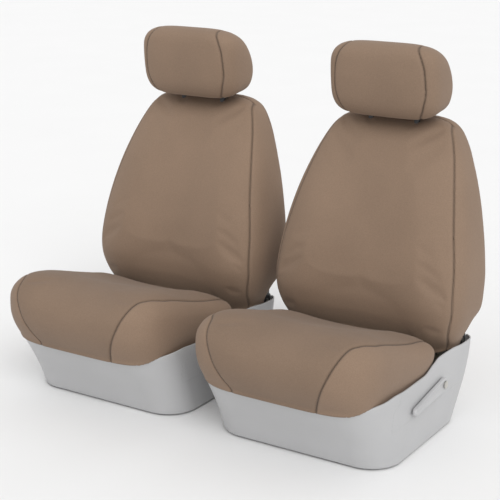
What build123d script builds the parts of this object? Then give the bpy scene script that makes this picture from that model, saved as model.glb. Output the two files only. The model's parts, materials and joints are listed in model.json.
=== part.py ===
"""A pair of truck bucket seats in a fitted cover set, in millimetres.

Each seat stands on two floor rails. A plastic skirt with two side shields hides the rails and the
seat pan. Sewn fabric covers dress the cushion, the backrest and the headrest. The driver's seat is
modelled with y = 0 at the skirt's bottom front edge and x = 0 at its middle, and faces -Y. The
passenger's seat is its mirror image. place() then moves both, so that the origin is at the
middle of the set, on the floor.
"""
import os
from math import cos, radians, sin, sqrt, tan
from build123d import *

# Driving sizes
seat_spacing = 640        # between the two seats' middles
base_half = 270           # half width of the skirt at its top edge
base_taper = 8            # how far each side of the skirt leans in towards the floor
base_front_flare = 112    # how far the skirt's top edge stands ahead of its bottom edge
base_depth = 428          # skirt, front to rear at the floor
base_rear_flare = 100     # how far the shield's rear corner stands behind the skirt's bottom
base_front_corner = 84    # front corner radius at the floor
base_corner_growth = 46   # how much larger that radius is at the top
base_rear_corner = 42
skirt_wall = 4
floor_gap = 5             # the skirt slides this far above the floor
hem_height = 190          # the skirt's top edge under the cushion
shield_height = 204       # the shield's top edge beside the recliner
shield_seam = 107         # the shield's lower edge
shield_front = 22         # the shield's front edge
rear_wall_low = 50        # the rails pass under the skirt's rear wall
rear_wall_top = 160       # the backrest swings over it
joint_gap = 0.6           # open line between the skirt and a shield

cover_wall = 4            # padded cover fabric
seam_gap = 0.3            # between two sewn panels
cover_gap = 0.4           # between a cover and its foam
hem_band = 3              # thickness of the elastic hem
hem_turn = 28             # how far the hem turns in under the cushion
side_seam_low = 129       # cushion seam from the middle, at the hem
side_seam_high = 190      # cushion seam from the middle, on top

cushion_overhang = 6      # cushion, wider than the skirt on each side
cushion_front = -162      # front of the cushion
cushion_rear = 311
cushion_height = 151      # from the hem to the front crest

back_overhang = 18        # backrest, wider than the cushion on each side
back_front = 322          # lumbar bulge of the backrest
back_rear = 606
back_bottom = 216
back_step = 242           # the backrest is full width above this, and fits between the shields below
back_top = 806
back_narrow = 44          # how far the bottom of the backrest is inside the skirt's width
back_wrap = 52            # front panel, measured back from the front face
back_panel = 46           # back panel, measured forward from the rear face

headrest_half = 164
headrest_height = 204
headrest_depth = 152
headrest_lift = 14        # gap between the backrest's top and the headrest
headrest_seam = 130
headrest_middle_y = 517

frame_lean = 6.5          # degrees, backrest frame and headrest posts
recline_y = 500           # recliner axis
recline_z = 206
pin_fit = 0.35            # radial room round every shaft, pin and post

post_radius = 6
post_spacing = 140
post_depth = 168          # how far the posts reach down from the backrest's top
post_ahead = 20           # posts ahead of the backrest frame
guide_wall = 2
guide_length = 150
collar_height = 7
collar_radius = 15

tube_radius = 11          # backrest frame tube
frame_drop = 74           # hoop's top bar below the backrest's top
sleeve_wall = 2.4         # steel sleeve round each post guide
sleeve_length = 100
wire_radius = 2
wire_count = 4
wire_pitch = 72

plate = 4                 # side frames and recliner plates
plate_inset = 28          # side frame's outer face inside the skirt's top width
boss_radius = 24
shaft_radius = 7

rail_width = 44
rail_height = 26
rail_wall = 3
rail_length = 376
rail_start = 40
rail_slot = 20
slide_gap = 0.3
upper_length = 340
upper_start = 46
upper_top = 38
foot_reach = 44           # floor foot, in from the rail
foot_length = 46
foot_hole = 5.5
foot_front = 70           # bolt hole, from the skirt's front edge
foot_pitch = 310

pan_thickness = 3
pan_flange = 25
pan_front = -62
pan_rear = 266

lever_y = 300             # lever pin
lever_z = 150
lever_length = 168
lever_height = 30
lever_thick = 12
lever_droop = 7           # degrees below level, towards the front
lever_gap = 3             # between the shield and the lever
lever_pin_radius = 6

# Derived places
cushion_half = base_half + cushion_overhang
back_half = cushion_half + back_overhang
plate_outer = base_half - plate_inset
plate_inner = plate_outer - plate
rail_x = plate_outer - 12 - rail_width / 2
back_plate_outer = plate_inner - 2
back_plate_inner = back_plate_outer - plate - 1
frame_x = back_plate_inner - tube_radius + 1
cushion_bottom = hem_height + 1 + hem_band
set_middle_y = (cushion_front + back_rear) / 2


def box(x0, x1, y0, y1, z0, z1):
    """A block between two corners."""
    block = Box(x1 - x0, y1 - y0, z1 - z0, align=(Align.MIN, Align.MIN, Align.MIN))
    return Pos(x0, y0, z0) * block


def ring(half, front, rear, front_r, rear_r, z):
    """A level rounded rectangle, larger radii at its two front corners or its two rear ones."""
    f = front_r * (1 - sqrt(0.5))
    r = rear_r * (1 - sqrt(0.5))
    edges = [
        Line((front_r - half, front), (half - front_r, front)),
        ThreePointArc((half - front_r, front), (half - f, front + f), (half, front + front_r)),
        Line((half, front + front_r), (half, rear - rear_r)),
        ThreePointArc((half, rear - rear_r), (half - r, rear - r), (half - rear_r, rear)),
        Line((half - rear_r, rear), (rear_r - half, rear)),
        ThreePointArc((rear_r - half, rear), (r - half, rear - r), (-half, rear - rear_r)),
        Line((-half, rear - rear_r), (-half, front + front_r)),
        ThreePointArc((-half, front + front_r), (f - half, front + f), (front_r - half, front)),
    ]
    return Pos(0, 0, z) * make_face(edges)


def stack(rings):
    """The closed solid through a stack of level rings, bottom to top."""
    return loft([ring(*values) for values in rings], ruled=True)


def inset(rings, amount, drops):
    """The same stack moved in by an amount, each ring lowered by its share of it."""
    moved = []
    for (half, front, rear, front_r, rear_r, z), drop in zip(rings, drops):
        moved.append((half - amount, front + amount, rear - amount,
                      front_r - amount, rear_r - amount, z - amount * drop))
    return moved


def side_prism(points, x0, x1):
    """An outline in the side view, (y, z), given thickness from x0 to x1."""
    face = make_face(Polyline(*points, close=True))
    return Pos(x0, 0, 0) * extrude(Plane.YZ * face, amount=x1 - x0)


def front_prism(points, y0, y1):
    """An outline in the front view, (x, z), given depth from y0 to y1."""
    face = make_face(Polyline(*points, close=True))
    return Pos(0, y1, 0) * extrude(Plane.XZ * face, amount=y1 - y0)


def rod(radius, x0, x1, y, z):
    """A round bar along X."""
    bar = Cylinder(radius, x1 - x0, align=(Align.CENTER, Align.CENTER, Align.MIN))
    return Pos(x0, y, z) * Rot(0, 90, 0) * bar


def both_sides(solid):
    """A right-hand piece and its mirror image."""
    return Compound([solid, mirror(solid, about=Plane.YZ)])


# Base: skirt and side shields
def base_rings():
    """The flaring outline of the skirt, from the floor gap to the shields' top."""
    rings = []
    for share, bow in ((0, 0), (0.35, 0.3), (0.68, 0.62), (1, 1)):
        z = floor_gap + share * (shield_height - floor_gap)
        half = base_half - base_taper * (1 - share)
        front = -base_front_flare * bow
        rear = base_depth + base_rear_flare * (2 * share - share * share)
        corner = base_front_corner + base_corner_growth * share
        rings.append((half, front, rear, corner, base_rear_corner, z))
    return rings


def shield_outline(margin):
    """Side view of a shield, grown by a margin."""
    low = shield_seam - margin
    front = shield_front - margin
    step = shield_seam + margin
    return [(front + 14, low), (front, low + 14), (front, step + 56), (front + 42, step + 74),
            (front + 42, hem_height + 60), (base_depth + base_rear_flare + 60, hem_height + 60),
            (base_depth + base_rear_flare + 60, low)]


def base_shell():
    """The whole moulded wall before the shields are parted from it."""
    rings = base_rings()
    inner = inset(rings, skirt_wall, (0, 0, 0, 0))
    inner[0] = inner[0][:5] + (inner[0][5] - 1,)
    inner[-1] = inner[-1][:5] + (inner[-1][5] + 1,)
    shell = stack(rings) - stack(inner)
    shell -= box(-400, 400, -400, cushion_rear + 9, hem_height, 400)
    swing = plate_outer + 1
    shell -= box(-swing, swing, base_depth - 80, 700, rear_wall_top, 400)
    shell -= box(-swing, swing, base_depth - 80, 700, -10, rear_wall_low)
    return shell


def base_skirt():
    reach = base_half + 100
    cut = side_prism(shield_outline(joint_gap), plate_outer + 0.5, reach)
    return base_shell() - cut - mirror(cut, about=Plane.YZ)


def side_shield():
    """The right-hand shield."""
    return base_shell() & side_prism(shield_outline(0), plate_outer + 1, base_half + 100)


# Rails and frame
def lower_rail():
    """A channel with lips and two floor feet."""
    x0 = rail_x - rail_width / 2
    end = rail_start + rail_length
    body = box(x0, x0 + rail_width, rail_start, end, 0, rail_height)
    body -= box(x0 + rail_wall, x0 + rail_width - rail_wall, rail_start - 1, end + 1,
                rail_wall, rail_height - rail_wall)
    body -= box(rail_x - rail_slot / 2, rail_x + rail_slot / 2, rail_start - 1, end + 1,
                rail_wall, rail_height + 1)
    for y in (foot_front, foot_front + foot_pitch):
        foot = box(x0 - foot_reach, x0 + 1, y - foot_length / 2, y + foot_length / 2, 0, plate)
        hole = Pos(x0 - foot_reach / 2, y, 0) * Cylinder(foot_hole, 4 * plate)
        body += foot - hole
    return body


def upper_rail():
    """A T-shaped runner held in the channel, with a flange on top."""
    end = upper_start + upper_length
    room = rail_wall + slide_gap
    foot_half = rail_width / 2 - room
    web_half = rail_slot / 2 - 3
    runner = box(rail_x - foot_half, rail_x + foot_half, upper_start, end,
                 room, rail_height - room)
    runner -= box(rail_x - foot_half + 5, rail_x + foot_half - 5, upper_start - 1, end + 1,
                  room - 1, room + 8)
    web = box(rail_x - web_half, rail_x + web_half, upper_start, end,
              room + 8, upper_top)
    flange = box(rail_x - rail_width / 2, rail_x + rail_width / 2, upper_start, end,
                 upper_top - plate, upper_top)
    return runner + web + flange


def side_frame():
    """A plate from the runner to the pan and back to the recliner, with a foot flange."""
    low = upper_top
    top = hem_height - 4
    wall = side_prism([(upper_start + 14, low), (upper_start - 30, 120), (pan_front + 52, top),
                       (cushion_rear + 14, top), (recline_y - 20, recline_z + boss_radius - 6),
                       (recline_y, recline_z - boss_radius), (upper_start + upper_length, low)],
                      plate_inner, plate_outer)
    wall += rod(boss_radius, plate_inner, plate_outer, recline_y, recline_z)
    wall -= rod(shaft_radius, plate_inner - 1, plate_outer + 1, recline_y, recline_z)
    flange = box(rail_x - rail_width / 2, plate_inner, upper_start, upper_start + upper_length,
                 low, low + plate)
    return wall + flange


def cross_tubes():
    """Two tubes between the side frames."""
    tubes = []
    for y, z in ((30, 120), (230, 104)):
        bar = rod(tube_radius, -plate_inner, plate_inner, y, z)
        bore = rod(tube_radius - 2, -plate_inner - 1, plate_inner + 1, y, z)
        tubes.append(bar - bore)
    return Compound(tubes)


def seat_pan():
    """A pressed tray, open below, between the side frames."""
    top = cushion_bottom
    outer = (plate_inner, pan_front, pan_rear, 90, 24)
    t = pan_thickness
    inner = (plate_inner - t, pan_front + t, pan_rear - t, 90 - t, 24 - t)
    tray = stack([outer + (top - pan_flange,), outer + (top,)])
    return tray - stack([inner + (top - pan_flange - 1,), inner + (top - t,)])


# Cushion and its cover
def cushion_rings():
    """Outline of the dressed cushion: a high front crest that falls away to the rear."""
    base = cushion_bottom
    rise = cushion_height
    length = cushion_rear - cushion_front
    rings = []
    for share, side, front, rear, corner in ((0, 8, 44, 9, 118), (0.2, 0, 10, 0, 118),
                                             (0.38, 5, 0, 4, 118), (0.64, 22, 7, 120, 105),
                                             (0.86, 49, 32, 255, 82), (1, 82, 76, 318, 34)):
        rear_y = cushion_rear - rear / 473 * length
        rings.append((cushion_half - side, cushion_front + front, rear_y,
                      corner, min(corner, 52), base + share * rise))
    return rings


cushion_drops = (0, 0, 0.4, 0.8, 1, 1)


def cushion_foam():
    rings = inset(cushion_rings(), cover_wall + cover_gap, cushion_drops)
    return stack(rings)


def cushion_shell():
    rings = cushion_rings()
    inner = inset(rings, cover_wall, cushion_drops)
    inner[0] = inner[0][:5] + (inner[0][5] - 1,)
    return stack(rings) - stack(inner)


def cushion_middle(grow):
    """The space of the middle panel, between the two sloping seams."""
    crest = cushion_bottom + cushion_height
    low = side_seam_low + grow
    high = side_seam_high + grow
    return front_prism([(-low, 0), (low, 0), (low, hem_height), (high, crest), (high, crest + 50),
                        (-high, crest + 50), (-high, crest), (-low, hem_height)], -400, 600)


def cushion_sides():
    """The two side panels."""
    sides = cushion_shell() - cushion_middle(seam_gap)
    return Compound(list(sides.solids()))


def cushion_hem():
    """Elastic band that turns in under the foam."""
    half, front, rear, front_r, rear_r, z = cushion_rings()[0]
    outer = (half, front, rear, front_r, rear_r)
    inner = (half - hem_turn, front + hem_turn, rear - hem_turn,
             front_r - hem_turn, rear_r - hem_turn)
    band = stack([outer + (z - hem_band,), outer + (z,)])
    return band - stack([inner + (z - hem_band - 1,), inner + (z + 1,)])


def cushion_straps():
    """Two webbing straps under the pan, from the front hem to the rear hem."""
    under = cushion_bottom - pan_flange
    low = under - 3
    hem = cushion_bottom - hem_band
    front = cushion_rings()[0][1] + hem_turn - 6
    rear = cushion_rings()[0][2] - hem_turn + 16
    outline = [(front, hem), (front, hem - 2.5), (pan_front - 6, low), (pan_rear + 4, low),
               (rear, hem - 2.5), (rear, hem), (rear - 8, hem), (pan_rear + 3, under - 0.5),
               (pan_front - 5, under - 0.5), (front + 8, hem)]
    strap = side_prism(outline, 108, 133)
    buckle = box(103, 138, 90, 126, low - 5, low)
    return both_sides(strap + buckle)


# Backrest and its cover
def back_rings():
    """Outline of the dressed backrest: narrow between the shields, widest low down."""
    height = back_top - back_step
    narrow = base_half - back_narrow
    rings = [(narrow, back_front + 24, back_rear - 44, 30, 34, back_bottom),
             (narrow, back_front + 16, back_rear - 36, 30, 34, back_step - 0.5),
             (back_half - 24, back_front + 10, back_rear - 28, 44, 44, back_step)]
    for share, side, front, rear, corner in ((0.09, 5, 0, 12, 60), (0.24, 0, 4, 4, 66),
                                             (0.45, 7, 38, 1, 66), (0.65, 28, 86, 0, 62),
                                             (0.83, 62, 130, 2, 56), (0.945, 104, 156, 16, 44),
                                             (1, 150, 172, 38, 32)):
        rings.append((back_half - side, back_front + front, back_rear - rear, corner, corner,
                      back_step + share * height))
    return rings


back_drops = (0, 0, 0, 0, 0, 0, 0, 0, 0.7, 1)


def back_shell():
    rings = back_rings()
    inner = inset(rings, cover_wall, back_drops)
    inner[0] = inner[0][:5] + (inner[0][5] - 1,)
    inner[1] = inner[1][:5] + (inner[1][5] + cover_wall,)
    inner[2] = inner[2][:5] + (inner[2][5] + cover_wall,)
    shell = stack(rings) - stack(inner)
    arm = recliner_arm(0.5)
    return shell - guides_and_posts(0.5) - arm - mirror(arm, about=Plane.YZ)


def front_space(wrap):
    """Everything ahead of a line that follows the backrest's front face."""
    rings = back_rings()
    line = [(front + min(wrap, 0.38 * (rear - front)), z) for _, front, rear, _, _, z in rings[2:]]
    outline = [(-100, back_bottom - 50), (line[0][0], back_bottom - 50)] + line
    outline += [(line[-1][0], back_top + 60), (-100, back_top + 60)]
    return side_prism(outline, -500, 500)


def rear_space(depth):
    """Everything behind a line that follows the backrest's rear face."""
    rings = back_rings()
    line = [(rear - min(depth, 0.3 * (rear - front)), z) for _, front, rear, _, _, z in rings[2:]]
    outline = [(900, back_bottom - 50), (line[0][0], back_bottom - 50)] + line
    outline += [(line[-1][0], back_top + 60), (900, back_top + 60)]
    return side_prism(outline, -500, 500)


def frame_y(z):
    """The frame's middle plane at a height."""
    return recline_y - 22 + (z - back_step) * tan(radians(frame_lean))


def recliner_arm(grow):
    """The right-hand plate that carries the hoop on the recliner shaft."""
    low = recline_z - 8
    high = back_step + 110
    arm = side_prism([(recline_y - 20 - grow, low), (recline_y + 20 + grow, low),
                      (recline_y + 26 + grow, back_step + 60), (recline_y - 10 + grow, high + grow),
                      (recline_y - 40 - grow, high + grow), (recline_y - 40 - grow, back_step)],
                     back_plate_inner - grow, back_plate_outer + grow)
    arm += rod(20 + grow, back_plate_inner - grow, back_plate_outer + grow, recline_y, recline_z)
    return arm - rod(shaft_radius + pin_fit, 0, 400, recline_y, recline_z)


def backrest_frame(grow=0.0):
    """A bent tube hoop on two recliner plates, with two guide sleeves at its top."""
    top = back_top - frame_drop
    knee = back_step + 190
    shoulder = back_half - 118
    foot = back_step + cover_wall + 6
    path = FilletPolyline((-frame_x, frame_y(foot), foot), (-frame_x, frame_y(knee), knee),
                          (-shoulder, frame_y(top), top), (shoulder, frame_y(top), top),
                          (frame_x, frame_y(knee), knee), (frame_x, frame_y(foot), foot),
                          radius=48)
    start = Plane(origin=path @ 0, z_dir=path % 0)
    hoop = sweep(start * Circle(tube_radius + grow), path=path)
    arm = recliner_arm(grow)
    frame = hoop + arm + mirror(arm, about=Plane.YZ)
    for x in (-post_spacing / 2, post_spacing / 2):
        bore_radius = post_radius + pin_fit + guide_wall + 0.1
        middle = post_line(x, back_top - top)
        frame += middle * Cylinder(bore_radius + sleeve_wall + grow, sleeve_length + grow)
        if grow == 0:
            frame -= middle * Cylinder(bore_radius, sleeve_length + 40)
    return frame


def post_line(x, down):
    """A place on a headrest post's axis, a distance down from the backrest's top."""
    z = back_top - down
    y = frame_y(z) - post_ahead
    return Pos(x, y, z) * Rot(-frame_lean, 0, 0)


def backrest_springs(grow=0.0):
    """Straight wires across the front of the hoop."""
    wires = []
    for index in range(wire_count):
        z = back_step + 60 + index * wire_pitch
        knee = back_step + 190
        top = back_top - frame_drop
        share = max(0, (z - knee) / (top - knee))
        half = frame_x - share * (frame_x - (back_half - 118)) + 6
        y = frame_y(z) - (tube_radius + wire_radius + 0.6)
        wires.append(rod(wire_radius + grow, -half - grow, half + grow, y, z))
    return Compound(wires)


def guide(x):
    """A plastic sleeve with a collar, for one post."""
    radius = post_radius + pin_fit
    sleeve = post_line(x, guide_length / 2) * Cylinder(radius + guide_wall, guide_length)
    collar = post_line(x, -collar_height / 2 - 2.5) * Cylinder(collar_radius, collar_height)
    neck = post_line(x, -2) * Cylinder(radius + guide_wall, 12)
    return sleeve + neck + collar - post_line(x, 0) * Cylinder(radius, 3 * guide_length)


def headrest_guides():
    return Compound([guide(-post_spacing / 2), guide(post_spacing / 2)])


def guides_and_posts(grow):
    """The space that the guides and the posts take in the backrest."""
    radius = post_radius + pin_fit + guide_wall + grow
    bores = []
    for x in (-post_spacing / 2, post_spacing / 2):
        bores.append(post_line(x, (post_depth + 8) / 2 - 10) * Cylinder(radius, post_depth + 28))
    return bores[0] + bores[1]


def backrest_foam():
    rings = inset(back_rings(), cover_wall + cover_gap, back_drops)
    rings[1] = rings[1][:5] + (rings[1][5] + cover_wall + cover_gap,)
    rings[2] = rings[2][:5] + (rings[2][5] + cover_wall + cover_gap,)
    foam = stack(rings)
    foam -= backrest_frame(0.4)
    foam -= backrest_springs(0.4)
    return foam - guides_and_posts(0.5)


def closure_straps():
    """Two hook-and-loop straps that join the cover's front and back under the foam."""
    strap = box(60, 120, 352, 556, back_bottom - 3, back_bottom - 0.4)
    return both_sides(strap)


# Headrest and its cover
def headrest_block(shrink):
    """The dressed headrest, or its foam when shrunk: full in the middle, rounded at its ends."""
    slices = []
    middle_z = back_top + headrest_lift + headrest_height / 2
    lean = radians(frame_lean)
    across = (0, cos(lean), -sin(lean))
    for x, share in ((-headrest_half, 0.6), (-headrest_half + 9, 0.8), (-headrest_seam, 0.95),
                     (-90, 1), (90, 1), (headrest_seam, 0.95), (headrest_half - 9, 0.8),
                     (headrest_half, 0.6)):
        if abs(x) > headrest_seam:
            x -= shrink if x > 0 else -shrink
        tall = headrest_height * (0.3 + 0.7 * share) - 2 * shrink
        deep = headrest_depth * share - 2 * shrink
        outline = RectangleRounded(deep, tall, 0.46 * deep)
        plane = Plane(origin=(x, headrest_middle_y, middle_z), x_dir=across, z_dir=(1, 0, 0))
        slices.append((plane * outline).face())
    return loft(slices, ruled=True)


def headrest_posts(grow=0.0):
    """One bent rod: two posts and the bar between them."""
    half = post_spacing / 2
    top = post_line(half, -headrest_height * 0.55).position
    low = post_line(half, post_depth).position
    path = FilletPolyline((-low.X, low.Y, low.Z), (-top.X, top.Y, top.Z),
                          (top.X, top.Y, top.Z), (low.X, low.Y, low.Z), radius=24)
    start = Plane(origin=path @ 0, z_dir=path % 0)
    return sweep(start * Circle(post_radius + grow), path=path)


def headrest_foam():
    return headrest_block(cover_wall + cover_gap) - headrest_posts(0.4)


def headrest_shell():
    return headrest_block(0) - headrest_block(cover_wall) - headrest_posts(1)


def headrest_band():
    """The panel over the front, top and back, between the end seams."""
    return headrest_shell() & box(-headrest_seam, headrest_seam, 0, 900, 700, 1200)


def headrest_ends():
    ends = headrest_shell() - box(-headrest_seam, headrest_seam, 0, 900, 700, 1200)
    return Compound(list(ends.solids()))


# Recliner lever
def lever_inner():
    """The lever's inner face, clear of the shield at the lever's highest point."""
    share = (lever_z + lever_height - floor_gap) / (shield_height - floor_gap)
    return base_half - base_taper * (1 - share) + lever_gap


def recline_lever():
    """A tapering handle on the outboard shield, on a pin at its rear."""
    inner = lever_inner()
    hub = rod(lever_height / 2 + 3, inner, inner + lever_thick, 0, 0)
    tip = rod(lever_height / 2 - 4, inner, inner + lever_thick, -lever_length, 0)
    grip = side_prism([(0, lever_height / 2 + 3), (0, -lever_height / 2 - 3),
                       (-lever_length, 4 - lever_height / 2), (-lever_length, lever_height / 2 - 4)],
                      inner, inner + lever_thick)
    lever = Rot(lever_droop, 0, 0) * (hub + tip + grip)
    lever = Pos(0, lever_y, lever_z) * lever
    return lever - rod(lever_pin_radius + pin_fit, 0, 400, lever_y, lever_z)


def lever_pin():
    """The pin from the side frame through the shield, with a head outside the lever."""
    inner = lever_inner()
    pin = rod(lever_pin_radius, plate_outer, inner + lever_thick + 1, lever_y, lever_z)
    head = rod(lever_pin_radius + 4, inner + lever_thick + 0.5, inner + lever_thick + 3.5,
               lever_y, lever_z)
    return pin + head


def release_cable():
    """The sheathed cable from the lever's pin plate to the recliner, clear of both."""
    x = plate_outer + 6
    path = FilletPolyline((x, lever_y + 18, lever_z), (x, lever_y + 70, lever_z),
                          (x, recline_y - 70, recline_z - 14), (x, recline_y - 28, recline_z - 10),
                          radius=60)
    start = Plane(origin=path @ 0, z_dir=path % 0)
    return sweep(start * Circle(3), path=path)


def recline_shaft():
    return rod(shaft_radius - 0.05, -plate_outer - 2, plate_outer + 2, recline_y, recline_z)


def seat_nodes():
    """Every node of the driver's seat, whose outboard side is +X."""
    shield = side_shield()
    shield_hole = rod(lever_pin_radius + 1, 0, 400, lever_y, lever_z)
    shell = back_shell()
    front = front_space(back_wrap)
    rear = rear_space(back_panel)
    return {
        "lower_rails": both_sides(lower_rail()),
        "upper_rails": both_sides(upper_rail()),
        "side_frames": both_sides(side_frame()),
        "cross_tubes": cross_tubes(),
        "seat_pan": seat_pan(),
        "base_skirt": base_skirt(),
        "side_shield_outboard": shield - shield_hole,
        "side_shield_inboard": mirror(shield, about=Plane.YZ),
        "cushion_foam": cushion_foam(),
        "cushion_cover_middle": cushion_shell() & cushion_middle(0),
        "cushion_cover_sides": cushion_sides(),
        "cushion_cover_hem": cushion_hem(),
        "cushion_cover_straps": cushion_straps(),
        "recline_shaft": recline_shaft(),
        "recline_lever": recline_lever(),
        "recline_lever_pin": lever_pin(),
        "recline_cable": release_cable(),
        "backrest_frame": backrest_frame(),
        "backrest_springs": backrest_springs(),
        "backrest_foam": backrest_foam(),
        "backrest_cover_front": shell & front,
        "backrest_cover_gusset": shell - front - rear,
        "backrest_cover_back": shell & rear,
        "backrest_cover_closures": closure_straps(),
        "headrest_guides": headrest_guides(),
        "headrest_posts": headrest_posts(),
        "headrest_foam": headrest_foam(),
        "headrest_cover_band": headrest_band(),
        "headrest_cover_ends": headrest_ends(),
    }


def place(solid, side):
    """Move a seat's piece to the driver's side (+1) or the passenger's side (-1)."""
    if side < 0:
        solid = mirror(solid, about=Plane.YZ)
    return Pos(side * seat_spacing / 2, -set_middle_y, 0) * solid


os.makedirs("parts", exist_ok=True)
for name, solid in seat_nodes().items():
    export_step(place(solid, 1), f"parts/driver_{name}.step")
    export_step(place(solid, -1), f"parts/passenger_{name}.step")
    print(name, len(solid.solids()), round(solid.volume / 1000), "cm3")
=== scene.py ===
# The looks of a pair of truck bucket seats in a fitted cover set, in metres. Each piece is made
# once, for a seat with x = 0 at its middle and y = 0 at its skirt's bottom front edge, and is then
# placed on the driver's side and, mirrored, on the passenger's side.
import json
from math import cos, pi, radians, sin

import bmesh
import bpy
import numpy as np
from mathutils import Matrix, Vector


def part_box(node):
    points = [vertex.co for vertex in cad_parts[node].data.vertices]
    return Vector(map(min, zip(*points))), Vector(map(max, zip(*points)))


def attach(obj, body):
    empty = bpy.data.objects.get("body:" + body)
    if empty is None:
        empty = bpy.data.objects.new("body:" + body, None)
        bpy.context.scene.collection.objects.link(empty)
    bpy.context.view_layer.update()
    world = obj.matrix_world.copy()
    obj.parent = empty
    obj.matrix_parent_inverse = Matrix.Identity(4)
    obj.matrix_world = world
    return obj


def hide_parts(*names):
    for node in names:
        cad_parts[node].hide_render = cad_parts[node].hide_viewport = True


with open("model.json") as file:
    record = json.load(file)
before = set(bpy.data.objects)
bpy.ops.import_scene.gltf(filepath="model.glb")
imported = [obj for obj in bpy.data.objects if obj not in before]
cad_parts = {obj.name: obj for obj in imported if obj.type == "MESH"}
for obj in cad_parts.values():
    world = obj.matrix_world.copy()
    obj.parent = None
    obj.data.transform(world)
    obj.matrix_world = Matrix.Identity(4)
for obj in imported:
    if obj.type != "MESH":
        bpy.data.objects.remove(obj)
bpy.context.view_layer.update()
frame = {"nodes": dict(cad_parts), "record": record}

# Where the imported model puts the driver's seat
rail_low, rail_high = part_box("driver_lower_rails")
pan_low, pan_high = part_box("driver_seat_pan")
lever_low, lever_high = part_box("driver_recline_lever")
pin_low, pin_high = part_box("driver_recline_lever_pin")
strap_low, strap_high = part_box("driver_cushion_cover_straps")
closure_low, closure_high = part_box("driver_backrest_cover_closures")
hem_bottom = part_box("driver_cushion_cover_hem")[0].z
rail_start = 0.040
seat_x = (rail_low.x + rail_high.x) / 2
seat_y = rail_low.y - rail_start

# Cover fabric
voxel = 0.007
pressure = 4.0
cloth_frames = 20
cloth_stiffness = 30
cloth_bending = 8
seam_hold = 2 * voxel
least_slope = 0.3
seam_depth = 0.0028
seam_width = 0.0034
fabric_edge = 0.004
foam_room = 0.009
wall_below = 0.024
cushion_wall_below = 0.045

# Cushion: how its top and its hem rise and fall from front to rear, (y, z)
cushion_half = 0.272
cushion_front_fullness = 4.0
cushion_rear_fullness = 9.0
cushion_arch_fullness = 4.2
cushion_middle_y = 0.076
cushion_reach = 0.236
cushion_tuck_side = 0.011
cushion_tuck_front = 0.040
cushion_front_lap = 0.009
cushion_side_lap = 0.012
cushion_level = [(-0.160, 0.276), (0.000, 0.268), (0.150, 0.248), (0.320, 0.236)]
cushion_crest = [(-0.170, 0.346), (-0.120, 0.368), (-0.060, 0.376), (0.000, 0.366),
                 (0.090, 0.338), (0.180, 0.310), (0.260, 0.288), (0.320, 0.270)]
cushion_crown = [(0.0, -0.012), (0.3, -0.009), (0.6, 0.001), (0.74, 0.004),
                 (0.86, -0.001), (0.94, -0.009), (1.0, -0.018)]
cushion_hem = [(-0.160, 0.187), (-0.100, 0.190), (-0.040, 0.205), (0.020, 0.209),
               (0.090, 0.203), (0.213, 0.196), (0.275, 0.203), (0.320, 0.213)]
cushion_seam_low = [(0.187, 0.124), (0.370, 0.206)]
cushion_seam_top = [(-0.090, 0.204), (0.000, 0.232), (0.150, 0.234), (0.320, 0.224)]
cushion_seam_turn = (-0.105, -0.065)
cushion_front_lap_end = (-0.110, -0.065)
cushion_side_lap_start = (-0.055, -0.020)
cushion_swell = 0.007

# Elastic hem: how far in it starts, its width, the roll at its inner edge, how far it hangs below
# the cover's lower edge, and its gathers
hem_inset = 0.018
hem_width = 0.022
hem_roll = 0.003
hem_thick = 0.0012
hem_drop = 0.001
hem_slope = 0.002
gather_height = 0.0012
gather_count = 90

# Backrest: half width, front, rear and the hollow of its front at each height, (z, value)
back_half = [(0.200, 0.256), (0.230, 0.268), (0.270, 0.283), (0.320, 0.294), (0.380, 0.296),
             (0.450, 0.290), (0.510, 0.281), (0.595, 0.263), (0.697, 0.230), (0.769, 0.195),
             (0.795, 0.172), (0.808, 0.148), (0.815, 0.118), (0.818, 0.070), (0.8185, 0.004)]
back_front = [(0.200, 0.360), (0.235, 0.338), (0.270, 0.322), (0.300, 0.311), (0.340, 0.304),
              (0.420, 0.319), (0.510, 0.347), (0.600, 0.385), (0.680, 0.425), (0.740, 0.459),
              (0.785, 0.487), (0.805, 0.508), (0.814, 0.532), (0.8185, 0.566)]
back_rear = [(0.200, 0.540), (0.235, 0.564), (0.280, 0.588), (0.340, 0.599), (0.420, 0.603),
             (0.600, 0.607), (0.680, 0.611), (0.740, 0.615), (0.785, 0.614), (0.805, 0.602),
             (0.814, 0.588), (0.8185, 0.574)]
back_hollow = [(0.200, 0.004), (0.280, 0.012), (0.340, 0.020), (0.420, 0.026), (0.510, 0.025),
               (0.600, 0.020), (0.680, 0.013), (0.740, 0.008), (0.800, 0.002), (0.820, 0.0)]
back_hem = [(0.320, 0.209), (0.380, 0.203), (0.446, 0.202), (0.527, 0.205), (0.571, 0.221)]
back_fullness = 4.0
back_dish_share = 0.78
back_side_rise = 0.011
back_side_start = (0.205, 0.255)
back_lift_end = 0.30
back_tail_narrow = 0.12
back_tail_y = (0.45, 0.53)
back_tail_z = (0.235, 0.300)
back_low = 0.202
back_top = 0.8185
back_front_seam = [(0.200, 0.240), (0.260, 0.256), (0.340, 0.272), (0.420, 0.268), (0.560, 0.244),
                   (0.680, 0.216), (0.740, 0.197), (0.790, 0.171), (0.809, 0.142), (0.8185, 0.090)]
back_front_reach = [(0.200, 0.450), (0.600, 0.500), (0.740, 0.530), (0.8185, 0.556)]
back_rear_seam = [(0.200, 0.512), (0.300, 0.556), (0.420, 0.563), (0.600, 0.567), (0.740, 0.575),
                  (0.790, 0.585), (0.8185, 0.592)]
back_swell = 0.006
back_lap = 0.004

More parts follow.
